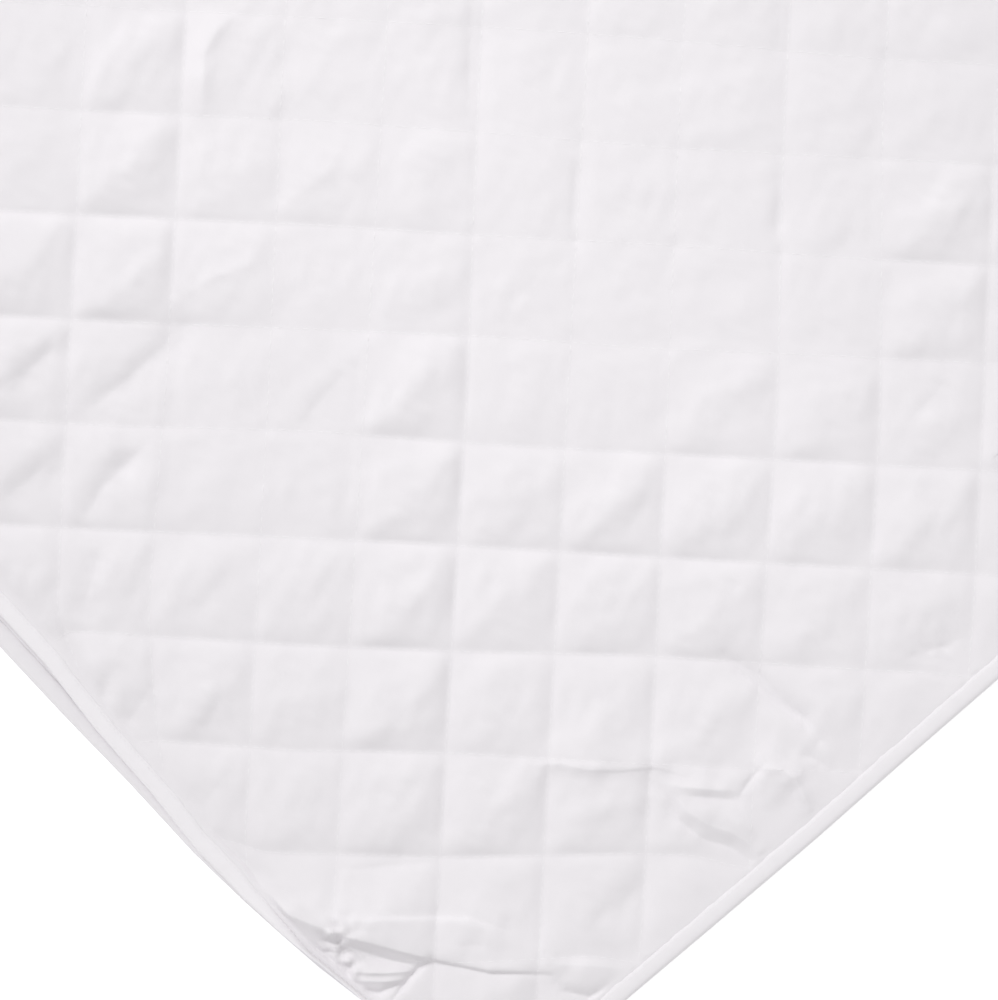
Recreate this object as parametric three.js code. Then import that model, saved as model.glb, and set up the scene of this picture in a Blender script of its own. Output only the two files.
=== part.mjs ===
// Mattress protector for a single bed, quilted in diamonds and bound with tape all round.
// It lies folded once across its length, one half under the other.
// +X runs from the stacked ends to the fold, +Y across the bed and +Z up.
// The origin is the middle of the underside, and every size is in millimetres.
// A point on the cloth is named by two distances: along, from the stacked ends towards the
// fold, and across, from the right side towards the left side.
import * as THREE from 'three';

// The folded protector
const FOLDED_LENGTH = 950;
const WIDTH = 900;

// Each layer of cloth and wadding: its full thickness, and the slit between the layers
const LAYER = 4.4;
const SLIT = 0.4;
const LOWER_MIDDLE = LAYER / 2;
const UPPER_MIDDLE = LAYER + SLIT + LAYER / 2;

// The binding: a tape folded round the edge, with the cloth pressed thin inside it
const BINDING_WIDTH = 11;
const TAPE = 0.9;
const CLEARANCE = 0.3;
const TAPE_ROUNDING = 0.7;
const PRESSED_HALF = LAYER / 2 - TAPE - CLEARANCE;
const CLOTH_EDGE = TAPE + CLEARANCE;
const SLOPE_FOOT = BINDING_WIDTH + CLEARANCE;
const SLOPE_RUN = 1.2;
const SLOPE_TOP = SLOPE_FOOT + SLOPE_RUN;

// The diamonds: seams at 45 degrees, a pitch apart, that pass through one known crossing
const PITCH = 60;
const DIAMOND_REACH = PITCH * Math.SQRT2;
const HALF_STEP = DIAMOND_REACH / 4;
const CROSSING_ALONG = 279.4;
const CROSSING_ACROSS = 229.7;
const SEAM_HEIGHT = 0.6;
const CROWN = 4.9;
const FLAT_BORDER = 18;
const LEAST_STEP = 8;

// The fold: the upper layer climbs to it, and rounds it at a steady radius
const FOLD_RADIUS = 8;
const FOLD_HEIGHT = LOWER_MIDDLE + FOLD_RADIUS;
const FOLD_PLUMP = 3;
const FOLD_NOSE = (LAYER / 2 + FOLD_PLUMP) / 2;
const FOLD_ALONG = FOLDED_LENGTH - FOLD_RADIUS - FOLD_NOSE;
const FOLD_CLIMB = 90;
const FOLD_STEPS = 10;

// Between the gathered corner and the climb the cloth lies straight, and a few stops do
const GATHER_REACH = 430;
const STRAIGHT_STOPS = [560, 700];

// How far the stacked ends are drawn in from the straight, on each layer, as one goes across
const END_DRAW = [
  { across: 0, lower: 33, upper: 36 },
  { across: 50, lower: 28, upper: 32 },
  { across: 105, lower: 19.8, upper: 25.6 },
  { across: 140, lower: 13.4, upper: 20 },
  { across: 168, lower: 9.9, upper: 12.2 },
  { across: 200, lower: 6.5, upper: 8 },
  { across: 240, lower: 3.6, upper: 6.4 },
  { across: 295, lower: 3, upper: 9 },
  { across: 350, lower: 1, upper: 9.6 },
  { across: 404, lower: 0, upper: 13.2 },
  { across: 900, lower: 0, upper: 9 },
];

// How far the right side is drawn in from the straight, on both layers, as one goes along
const SIDE_DRAW = [
  { along: 0, inward: 7 },
  { along: 140, inward: 6 },
  { along: 210, inward: 3.8 },
  { along: 280, inward: 1.8 },
  { along: 350, inward: 1.2 },
  { along: 420, inward: 0 },
  { along: 950, inward: 0 },
];
const DRAW_REACH = 80;

// The ridges that the gathered corner throws up in the upper layer, each a straight soft rise
const RIDGES = {
  lipAtEnd: { along: [41, 97], across: [152, 101], halfWidth: 12, height: 5 },
  lipAtSide: { along: [97, 136], across: [101, 38], halfWidth: 12, height: 4.5 },
  cornerPuff: { along: [78, 112], across: [66, 34], halfWidth: 20, height: 6.5 },
  endGather: { along: [22, 39], across: [188, 150], halfWidth: 11, height: 4 },
  endTuck: { along: [32, 59], across: [132, 106], halfWidth: 9, height: 3 },
  outerCrease: { along: [190, 250], across: [135, 72], halfWidth: 13, height: 4 },
  sideFold: { along: [235, 262], across: [75, 35], halfWidth: 13, height: 4.5 },
  sideWave: { along: [288, 294], across: [52, 18], halfWidth: 15, height: 3.5 },
};

const CLOTH_WHITE = 0xf0eff2;
const TAPE_WHITE = 0xeeebee;

function smooth(from, to, value) {
  return THREE.MathUtils.smoothstep(value, from, to);
}

// Reads a column of a table at a place between two of its rows
function readTable(table, placeColumn, place, valueColumn) {
  const last = table.length - 1;
  const after = table.findIndex((row) => row[placeColumn] >= place);
  const high = after < 0 ? last : Math.max(after, 1);
  const [a, b] = [table[high - 1], table[high]];
  const share = (place - a[placeColumn]) / (b[placeColumn] - a[placeColumn]);
  return THREE.MathUtils.lerp(a[valueColumn], b[valueColumn], THREE.MathUtils.clamp(share, 0, 1));
}

// The plan position of a point of one layer, with the drawn-in edges
function planPosition(along, across, layer) {
  const endDraw = readTable(END_DRAW, 'across', across, layer) * (1 - smooth(0, DRAW_REACH, along));
  const sideDraw = readTable(SIDE_DRAW, 'along', along, 'inward') * (1 - smooth(0, DRAW_REACH, across));
  return { x: along + endDraw - FOLDED_LENGTH / 2, y: across + sideDraw - WIDTH / 2 };
}

// The lift of the upper layer over its resting height, level inside the binding
function ridgeLift(along, across) {
  const [p, q] = [Math.max(along, SLOPE_FOOT), Math.max(across, SLOPE_FOOT)];
  return Object.values(RIDGES).reduce((lift, ridge) => {
    const [u, v] = [ridge.along[1] - ridge.along[0], ridge.across[1] - ridge.across[0]];
    const share = ((p - ridge.along[0]) * u + (q - ridge.across[0]) * v) / (u * u + v * v);
    const nearest = THREE.MathUtils.clamp(share, 0, 1);
    const distance = Math.hypot(p - ridge.along[0] - nearest * u, q - ridge.across[0] - nearest * v);
    return lift + ridge.height * Math.exp(-((distance / ridge.halfWidth) ** 2));
  }, 0);
}

// How full the wadding stands at a point, from 0 on a seam to 1 in the middle of a diamond
function fullness(along, across) {
  const [u, v] = [along - CROSSING_ALONG, across - CROSSING_ACROSS];
  const one = Math.sin((Math.PI * (u + v)) / DIAMOND_REACH);
  const other = Math.sin((Math.PI * (u - v)) / DIAMOND_REACH);
  return Math.sqrt(Math.abs(one * other));
}

// The same, flattened beside the binding on three sides
function borderedFullness(along, across) {
  const fromSide = Math.min(across, WIDTH - across, along) - SLOPE_TOP;
  return fullness(along, across) * smooth(0, FLAT_BORDER, fromSide);
}

// Stops along one direction: the border's own, and the half steps of the diamonds between them
function diamondStops(crossing, first, last) {
  const stops = [];
  const start = crossing - Math.floor((crossing - first) / HALF_STEP) * HALF_STEP;
  for (let place = start; place < last; place += HALF_STEP) {
    if (place - first > LEAST_STEP && last - place > LEAST_STEP) stops.push(place);
  }
  return stops;
}

const startBorder = [CLOTH_EDGE, SLOPE_FOOT, SLOPE_TOP];
const endBorder = startBorder.map((stop) => WIDTH - stop).reverse();
const upperStops = [...startBorder, ...diamondStops(CROSSING_ALONG, SLOPE_TOP, FOLD_ALONG)];
const acrossStops = [...startBorder, ...diamondStops(CROSSING_ACROSS, SLOPE_TOP, endBorder[0]), ...endBorder];
const lowerStops = [...startBorder, DRAW_REACH / 2, DRAW_REACH, GATHER_REACH, ...STRAIGHT_STOPS];
const fewUpperStops = [
  ...upperStops.filter((stop) => stop < GATHER_REACH),
  ...STRAIGHT_STOPS,
  ...upperStops.filter((stop) => stop > FOLD_ALONG - FOLD_CLIMB - HALF_STEP),
];

// The middle surface of the cloth: a stop on the upper layer, round the fold or on the lower layer
const onUpper = (along) => ({ layer: 'upper', along });
const onLower = (along) => ({ layer: 'lower', along });
const onFold = (step) => ({ layer: 'fold', turn: Math.PI * (0.5 - step / FOLD_STEPS) });
const foldRoute = Array.from({ length: FOLD_STEPS + 1 }, (_, step) => onFold(step));

// A point at a height above the middle surface, counted towards the outside of the folded cloth
function clothPoint(stop, across, height) {
  if (stop.layer === 'fold') {
    const reach = FOLD_RADIUS + height;
    const side = planPosition(FOLD_ALONG, across, 'lower');
    return new THREE.Vector3(
      side.x + reach * Math.cos(stop.turn),
      side.y,
      FOLD_HEIGHT + reach * Math.sin(stop.turn),
    );
  }
  const { x, y } = planPosition(stop.along, across, stop.layer);
  if (stop.layer === 'lower') return new THREE.Vector3(x, y, LOWER_MIDDLE - height);
  const foldRise = FOLD_HEIGHT + FOLD_RADIUS - UPPER_MIDDLE;
  const climb = foldRise * smooth(FOLD_ALONG - FOLD_CLIMB, FOLD_ALONG, stop.along);
  return new THREE.Vector3(x, y, UPPER_MIDDLE + ridgeLift(stop.along, across) + climb + height);
}

// Whether the cloth is pressed thin at a point, inside the binding
function isPressed(stop, across) {
  const fromSide = Math.min(across, WIDTH - across);
  return fromSide <= SLOPE_FOOT || (stop.layer !== 'fold' && stop.along <= SLOPE_FOOT);
}

// The height of the cloth's outer face: quilted on the upper layer, plump at the fold, flat below
function outerHeight(stop, across) {
  if (isPressed(stop, across)) return PRESSED_HALF;
  if (stop.layer === 'lower') return LAYER / 2;
  const round = stop.layer === 'fold' ? stop.turn / Math.PI + 0.5 : 1;
  const plump = THREE.MathUtils.lerp(LAYER / 2, FOLD_PLUMP, round);
  if (stop.layer === 'fold') return plump;
  const quilted = SEAM_HEIGHT + CROWN * borderedFullness(stop.along, across);
  return THREE.MathUtils.lerp(quilted, plump, smooth(FOLD_ALONG - PITCH / 2, FOLD_ALONG, stop.along));
}

function innerHeight(stop, across) {
  return isPressed(stop, across) ? -PRESSED_HALF : -LAYER / 2;
}

// Triangles of the strip between two chains of a closed ring, which start side by side
function capTriangles(outerRow, innerRow, pointAt) {
  const lengths = [outerRow, innerRow].map((row) => {
    let total = 0;
    const places = row.map((index, k) => {
      if (k > 0) total += pointAt(index).distanceTo(pointAt(row[k - 1]));
      return total;
    });
    return places.map((place) => place / total);
  });
  const triangles = [];
  let [i, j] = [0, 0];
  while (i < outerRow.length - 1 || j < innerRow.length - 1) {
    const nextOuter = i < outerRow.length - 1 ? lengths[0][i + 1] : Infinity;
    const nextInner = j < innerRow.length - 1 ? lengths[1][j + 1] : Infinity;
    if (nextOuter <= nextInner) {
      triangles.push([outerRow[i], outerRow[i + 1], innerRow[j]]);
      i += 1;
    } else {
      triangles.push([outerRow[i], innerRow[j + 1], innerRow[j]]);
      j += 1;
    }
  }
  return triangles;
}

// A closed body swept through its stations, each a ring of an outer chain and an inner chain.
// splitOther says which way the four-sided face between two stations and two ring points is cut.
function sweptBody(name, color, stations, splitOther = () => false) {
  const points = stations.flatMap(({ outer, inner }) => [...outer, ...[...inner].reverse()]);
  const outerCount = stations[0].outer.length;
  const ringCount = outerCount + stations[0].inner.length;
  const triangles = [];
  for (let s = 0; s + 1 < stations.length; s += 1) {
    for (let k = 0; k < ringCount; k += 1) {
      const [a, b] = [s * ringCount + k, s * ringCount + ((k + 1) % ringCount)];
      const [c, d] = [a + ringCount, b + ringCount];
      if (splitOther(s, k)) triangles.push([a, b, c], [b, d, c]);
      else triangles.push([a, b, d], [a, d, c]);
    }
  }
  const ringAt = (s, from, count) => Array.from({ length: count }, (_, k) => s * ringCount + from + k);
  for (const s of [0, stations.length - 1]) {
    const innerRow = ringAt(s, outerCount, ringCount - outerCount).reverse();
    const cap = capTriangles(ringAt(s, 0, outerCount), innerRow, (index) => points[index]);
    triangles.push(...(s === 0 ? cap.map(([a, b, c]) => [a, c, b]) : cap));
  }
  const volumeUnder = ([a, b, c]) => points[a].dot(points[b].clone().cross(points[c]));
  const volume = triangles.reduce((sum, triangle) => sum + volumeUnder(triangle), 0);
  const facing = volume < 0 ? triangles.map(([a, b, c]) => [a, c, b]) : triangles;
  const geometry = new THREE.BufferGeometry().setFromPoints(points);
  geometry.setIndex(facing.flat());
  const material = new THREE.MeshStandardMaterial({ color, roughness: 0.9, metalness: 0 });
  const mesh = new THREE.Mesh(geometry.toNonIndexed(), material);
  mesh.geometry.computeVertexNormals();
  mesh.name = name;
  return mesh;
}

// The quilted panel: one section of both layers and the fold between them, for each stop across
function quiltedPanel() {
  const outerRoute = [...upperStops.map(onUpper), ...foldRoute, ...[...lowerStops].reverse().map(onLower)];
  const innerRoute = [...fewUpperStops.map(onUpper), ...foldRoute, ...[...lowerStops].reverse().map(onLower)];
  const stations = acrossStops.map((across) => ({
    outer: outerRoute.map((stop) => clothPoint(stop, across, outerHeight(stop, across))),
    inner: innerRoute.map((stop) => clothPoint(stop, across, innerHeight(stop, across))),
  }));
  // The cut of each face runs along the seam that passes through it
  const splitOther = (s, k) => {
    if (k + 1 >= upperStops.length) return false;
    const along = (upperStops[k] + upperStops[k + 1]) / 2 - CROSSING_ALONG;
    const across = (acrossStops[s] + acrossStops[s + 1]) / 2 - CROSSING_ACROSS;
    const fromSeam = (place) => Math.abs(place / DIAMOND_REACH - Math.round(place / DIAMOND_REACH));
    return fromSeam(along + across) < fromSeam(along - across);
  };
  return sweptBody('quilted_panel', CLOTH_WHITE, stations, splitOther);
}

// The folded tape's section: distances inward from its outer edge, and heights from the middle
const TAPE_OUTSIDE = [
  { inward: BINDING_WIDTH, height: LAYER / 2 },
  { inward: TAPE_ROUNDING, height: LAYER / 2 },
  { inward: 0, height: LAYER / 2 - TAPE_ROUNDING },
  { inward: 0, height: TAPE_ROUNDING - LAYER / 2 },
  { inward: TAPE_ROUNDING, height: -LAYER / 2 },
  { inward: BINDING_WIDTH, height: -LAYER / 2 },
];
const TAPE_INSIDE = [
  { inward: BINDING_WIDTH, height: LAYER / 2 - TAPE },
  { inward: TAPE, height: LAYER / 2 - TAPE },
  { inward: TAPE, height: TAPE - LAYER / 2 },
  { inward: BINDING_WIDTH, height: TAPE - LAYER / 2 },
];

// The binding across the end of one layer, between the two side bindings
function endBinding(name, toLayer) {
  const between = acrossStops.filter((stop) => stop >= SLOPE_FOOT && stop <= WIDTH - SLOPE_FOOT);
  const stations = between.map((across) => {
    const place = ({ inward, height }) => clothPoint(toLayer(inward), across, height);
    return { outer: TAPE_OUTSIDE.map(place), inner: TAPE_INSIDE.map(place) };
  });
  return sweptBody(name, TAPE_WHITE, stations);
}

// The binding along one side: over the upper layer, round the fold and back under it
function sideBinding(name, acrossAt) {
  const upperRoute = [onUpper(0), ...fewUpperStops.map(onUpper)];
  const lowerRoute = [onLower(0), ...lowerStops.map(onLower)].reverse();
  const stations = [...upperRoute, ...foldRoute, ...lowerRoute].map((stop) => {
    const place = ({ inward, height }) => clothPoint(stop, acrossAt(inward), height);
    return { outer: TAPE_OUTSIDE.map(place), inner: TAPE_INSIDE.map(place) };
  });
  return sweptBody(name, TAPE_WHITE, stations);
}

const protector = new THREE.Group();
protector.add(
  quiltedPanel(),
  endBinding('binding_upper_end', onUpper),
  endBinding('binding_lower_end', onLower),
  sideBinding('binding_right_side', (inward) => inward),
  sideBinding('binding_left_side', (inward) => WIDTH - inward),
);

export default protector;
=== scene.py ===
import math

import bpy
import numpy as np
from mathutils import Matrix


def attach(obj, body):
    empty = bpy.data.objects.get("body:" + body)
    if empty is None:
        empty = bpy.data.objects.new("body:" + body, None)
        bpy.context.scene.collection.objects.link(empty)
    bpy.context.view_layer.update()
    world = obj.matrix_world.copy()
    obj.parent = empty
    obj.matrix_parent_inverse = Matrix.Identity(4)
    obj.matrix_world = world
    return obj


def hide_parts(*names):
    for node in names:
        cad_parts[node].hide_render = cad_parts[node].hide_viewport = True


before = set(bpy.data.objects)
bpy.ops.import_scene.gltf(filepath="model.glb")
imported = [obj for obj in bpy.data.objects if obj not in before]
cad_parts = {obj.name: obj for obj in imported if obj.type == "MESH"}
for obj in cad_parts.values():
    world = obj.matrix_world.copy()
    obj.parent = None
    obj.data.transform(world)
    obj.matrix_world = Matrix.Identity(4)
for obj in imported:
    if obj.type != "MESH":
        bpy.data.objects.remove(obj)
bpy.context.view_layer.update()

MM = 0.001

# The camera stands straight above the gathered corner. It is turned in plan, so that the diamonds
# stand on their sides in the picture, and far enough away to show next to no perspective.
VIEW_CENTRE = (-0.1998, -0.1764)
VIEW_SIDE = 0.585
VIEW_TURN = -42.0
CAMERA_HEIGHT = 3.0
CLOTH_FACE_HEIGHT = 0.010
SENSOR = 36.0

bpy.ops.object.camera_add(
    location=(*VIEW_CENTRE, CAMERA_HEIGHT), rotation=(0.0, 0.0, math.radians(VIEW_TURN))
)
camera = bpy.context.object
camera.name = "camera"
camera.data.sensor_width = SENSOR
camera.data.lens = SENSOR * (CAMERA_HEIGHT - CLOTH_FACE_HEIGHT) / VIEW_SIDE
camera.data.clip_end = 20.0
bpy.context.scene.camera = camera

# The quilted panel: white cotton over thin wadding on a plain backing, sewn together in diamonds.
# It is modelled as one flat sheet, 900 by about 1900 mm, then given its pillows and puckers, and
# folded once, so that a point goes from the upper end over the fold to the lower end.
WIDTH = 900.0
FOLDED_LENGTH = 950.0
LAYER = 4.4
LOWER_MIDDLE = 2.2
UPPER_MIDDLE = 7.0
FOLD_RADIUS = 8.0
FOLD_ALONG = 939.4
FOLD_CLIMB = 90.0
FOLD_HEIGHT = LOWER_MIDDLE + FOLD_RADIUS
FOLD_END = FOLD_ALONG + math.pi * FOLD_RADIUS
FLAT_LENGTH = FOLD_END + FOLD_ALONG


def table(names, *rows):
    """A short table as one dictionary a row, read by the names of its columns."""
    return [dict(zip(names, row)) for row in rows]


# The binding presses the cloth thin, and the cloth swells again as it comes out from under it
CLOTH_EDGE = 1.2
TAPE_EDGE = 11.0
SLOPE_TOP = 12.5
EDGE_SLOPE = table(
    ("inward", "quilted", "plain"),
    (CLOTH_EDGE, 1.0, 1.0),
    (9.0, 1.0, 1.0),
    (TAPE_EDGE, 1.5, 1.1),
    (SLOPE_TOP, 1.6, 2.2),
)
EDGE_HEIGHT = 1.6
EDGE_REACH = 5.0

# The diamonds: their pitch, the crossing they are set out from, and how full they stand, either as
# a soft pillow or bent to a ridge
PITCH = 60.2
CROSSING_ALONG = 282.5
CROSSING_ACROSS = 225.7
HALF_DIAMOND = PITCH / math.sqrt(2.0)
SEAM_HEIGHT = 0.6
CROWN = 5.0
CROWN_AT_FOLD = 2.4
SEAM_SOFTNESS = 13.0
SEAM_BLEND = 7.0
SEAM_ROUNDING = 0.7
PILLOW_FULLNESS = 1.12
RIDGE_SOFTNESS = 6.0
RIDGE_FOOT = 0.55
RIDGE_ROUNDING = 2.0
RIDGE_SHIFT = 4.5
CREST_DROOP = 0.25
KNOT_DEPTH = 0.5
KNOT_REACH = 3.6

# What is drawn by lot for each diamond, save those that have a place in the table of diamonds
DIAMONDS_EACH_WAY = 64
FULLNESS_DRAWN = (0.6, 1.0)
SHIFTS_DRAWN = (-2.0, 0.6)
BENT_DRAWN = (0.1, 0.7)

# How far the stacked ends are drawn in from the straight, and the right side, at the corner, and
# how far the gathers draw the upper end aside, towards the corner
END_DRAW = table(
    ("across", "lower", "upper", "aside"),
    (0, 33, 35, 0),
    (50, 28, 30, 0),
    (105, 19.8, 21, 0),
    (140, 13.4, 16, 0),
    (168, 9.9, 11.2, 0),
    (200, 6.5, 8, 0),
    (240, 3.6, 6.4, 3),
    (295, 3, 9, 12),
    (350, 1, 9.6, 18),
    (404, 0, 13.2, 24),
    (460, 0, 12.7, 21),
    (900, 0, 9, 0),
)
SIDE_DRAW = table(
    ("along", "inward"),
    (0, 7),
    (140, 6),
    (210, 3.8),
    (280, 1.8),
    (350, 1.2),
    (420, 0),
)
DRAW_REACH = 80.0

# How far in from the gathered end and side the seams are held by the binding, and where, past the
# part of the cloth that is pulled about, they are held straight again
HELD_AT_END = 27.0
HELD_AT_SIDE = 40.0
STRAIGHT_FROM = 780.0
STRAIGHT_ACROSS = 870.0
STRAIGHT_ALONG = 880.0

# Where the gathered end rolls up: how much of its width its edge keeps in plan, and its rise
END_ROLL = table(
    ("across", "width", "rise"),
    (70, 1.0, 0),
    (105, 0.25, 5),
    (150, 0.2, 6),
    (172, 0.6, 3),
    (215, 1.0, 0),
)
ROLL_REACH = 34.0

# How far each seam wanders from its straight line: seams that run away from the corner, at four
# places along them, and seams that run past it, at five places
AWAY_SEAMS = table(
    ("seam", "far", "middle", "inner_near", "near"),
    (-5, 2.5, 3, 3.7, 4),
    (-4, 1.5, 1, -2.5, 6),
    (-3, 0, 1.5, 1.5, 1.5),
    (-2, 0, -1.5, -3.1, -4),
    (-1, -4, -1.5, -2.5, -3),
    (0, -1.5, -2, -2, -2),
    (1, -5, -3, -2.3, -2),
    (2, -3, 1.5, -0.1, -1),
    (3, -5, 2.5, 1.8, 1.5),
    (4, 1.5, 3, 3.7, 4),
)
AWAY_PLACES = {"far": -265, "middle": -89, "inner_near": 45, "near": 115}
PAST_SEAMS = table(
    ("seam", "left", "inner_left", "middle", "inner_right", "right"),
    (-5, 0, 0, 0, 2, 6.5),
    (-4, 0, -1, 1, 4, 4),
    (-3, 0, -1, 0, 0, 2),
    (-2, 0.7, -1, -2, 0, -1.5),
    (-1, 0.6, -2.4, 0, 0, 0),
    (0, 0.8, -0.8, -1, 0, 0),
    (1, 0, 1.2, 0, -3.3, -1.8),
    (2, 0, 1.8, -1.5, -1, -2),
    (3, 0, 1.4, -1.5, -9, -12),
    (4, 0, 0, -0.6, -11, -12),
)
PAST_PLACES = {"left": -271, "inner_left": -154, "middle": -51, "inner_right": 51, "right": 168}

# How deep the same seams are drawn in, from none to full
AWAY_DEPTHS = table(
    ("seam", "beyond", "far", "far_middle", "middle", "near_middle", "near"),
    (-7, 0.7, 0.7, 0.7, 0.7, 0.7, 0.7),
    (-5, 0.7, 0.3, 0.5, 0.5, 0.5, 0.5),
    (-4, 0.7, 0.8, 0.7, 0.1, 0.3, 0.4),
    (-3, 0.7, 0.2, 0.2, 0.1, 0.3, 0.5),
    (-2, 0.7, 0.3, 0.15, 0.15, 0.25, 0.4),
    (-1, 0.7, 0.9, 0.6, 0.9, 0.9, 0.8),
    (0, 0.7, 0.8, 0.6, 0.3, 0.8, 0.8),
    (1, 0.7, 0.3, 0.1, 0.4, 0.6, 0.9),
    (2, 0.7, 0.95, 0.6, 0.6, 0.5, 0.25),
    (3, 0.7, 0.5, 0.3, 0.7, 0.5, 0.6),
    (4, 0.7, 0.6, 0.9, 0.8, 0.6, 0.6),
    (6, 0.7, 0.7, 0.7, 0.7, 0.7, 0.7),
)
AWAY_DEPTH_PLACES = {
    "beyond": -400, "far": -290, "far_middle": -180, "middle": -80, "near_middle": 30, "near": 145,
}
PAST_DEPTHS = table(
    ("seam", "beyond", "left", "inner_left", "middle", "inner_right", "right"),
    (-7, 0.7, 0.7, 0.7, 0.7, 0.7, 0.7),
    (-5, 0.7, 0.3, 0.2, 0.25, 0.3, 0.3),
    (-4, 0.7, 0.5, 0.3, 0.2, 0.4, 0.4),
    (-3, 0.7, 0.9, 0.7, 0.5, 0.15, 0.5),
    (-2, 0.7, 0.8, 0.4, 0.5, 0.15, 0.3),
    (-1, 0.7, 0.6, 0.4, 0.8, 0.8, 0.5),
    (0, 0.7, 0.9, 0.7, 0.9, 0.9, 0.55),
    (1, 0.7, 0.6, 0.9, 0.9, 0.8, 0.5),
    (2, 0.7, 0.6, 0.8, 0.6, 0.4, 0.4),
    (3, 0.7, 0.6, 0.8, 0.9, 0.7, 0.6),
    (4, 0.7, 0.4, 0.3, 0.3, 0.5, 0.6),
)
PAST_DEPTH_PLACES = {
    "left": -277, "inner_left": -160, "middle": -49, "inner_right": 68, "right": 185, "beyond": 330,
}
AWAY_STRETCH = -0.011
PAST_STRETCH = 0.0127
STRETCH_REACH = 300.0

# How sharply each diamond is bent, from a soft pillow to a ridge, and how full it is: a row for each
# strip of diamonds that runs past the corner, and a value for each diamond along it, from the left
FIRST_DIAMOND = -6
DIAMONDS = table(
    ("past", "bent", "full"),
    (-6, (0.2, 0.2, 0.3, 0.2, 0.2, 0.2, 0.2, 0.2, 0.2, 0.2),
     (0.5, 0.55, 0.5, 0.5, 0.45, 0.45, 0.5, 0.5, 0.5, 0.5)),
    (-5, (0.3, 0.9, 0.3, 0.3, 0.2, 0.1, 0.1, 0.3, 0.2, 0.5),
     (0.5, 0.95, 0.6, 0.45, 0.35, 0.35, 0.35, 0.5, 0.45, 0.5)),
    (-4, (0.3, 1.0, 0.6, 0.7, 0.5, 0.0, 0.2, 0.1, 0.0, 1.0),
     (0.5, 1.1, 0.75, 0.65, 0.65, 0.4, 0.35, 0.3, 0.35, 1.0)),
    (-3, (1.0, 1.0, 0.4, 0.0, 0.6, 0.2, 0.2, 0.0, 0.0, 1.0),
     (1.1, 1.2, 0.8, 0.4, 0.65, 0.45, 0.35, 0.3, 0.4, 0.95)),
    (-2, (1.0, 0.2, 0.0, 0.1, 1.0, 0.1, 0.0, 0.9, 1.0, 0.5),
     (1.1, 0.8, 0.4, 0.4, 1.15, 0.55, 0.4, 0.75, 0.95, 0.7)),
    (-1, (0.9, 0.2, 0.1, 0.0, 1.0, 0.2, 1.0, 1.0, 1.0, 1.0),
     (1.0, 0.9, 0.55, 0.45, 1.1, 0.9, 1.05, 1.1, 1.1, 1.05)),
    (0, (0.3, 0.4, 0.5, 0.6, 1.0, 0.6, 0.5, 0.8, 0.8, 0.8),
     (1.0, 0.9, 0.8, 0.85, 1.15, 1.0, 1.0, 0.95, 0.8, 0.85)),
    (1, (0.4, 0.4, 0.9, 0.3, 1.0, 0.4, 0.5, 0.5, 0.3, 0.3),
     (0.9, 0.9, 1.1, 0.8, 1.15, 1.0, 1.0, 0.9, 0.8, 0.7)),
    (2, (0.4, 0.4, 0.4, 0.3, 0.7, 0.7, 0.5, 0.2, 0.3, 0.3),
     (0.8, 0.8, 0.8, 0.8, 1.1, 1.1, 1.0, 0.8, 0.7, 0.7)),
    (3, (0.4, 0.4, 0.4, 0.2, 0.3, 0.5, 0.4, 0.3, 0.3, 0.3),
     (0.7, 0.7, 0.7, 0.7, 0.9, 0.9, 0.9, 0.8, 0.7, 0.7)),
)

# The soft ridges that the gathered corner throws up in the upper layer, both faces together. Each
# follows a line, and left and right are its half widths on either hand of someone who follows it.
RIDGES = table(
    ("name", "height", "left", "right", "line"),
    ("lip_at_end", 3, 20, 15, ((22, 174), (45, 142), (75, 112), (92, 94))),
    ("lip_at_side", 2.5, 18, 14, ((92, 94), (107, 70), (124, 44))),
    ("corner_flap", 1.5, 16, 16, ((70, 78), (100, 44))),
    ("outer_crease", 2.5, 16, 12, ((186, 150), (212, 126), (240, 103), (254, 84))),
    ("side_fold", 2, 12, 9, ((234, 80), (254, 39), (260, 24))),
    ("side_wave", 3.2, 13, 15, ((277, 57), (287, 49), (292, 40), (292, 30))),
)

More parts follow.
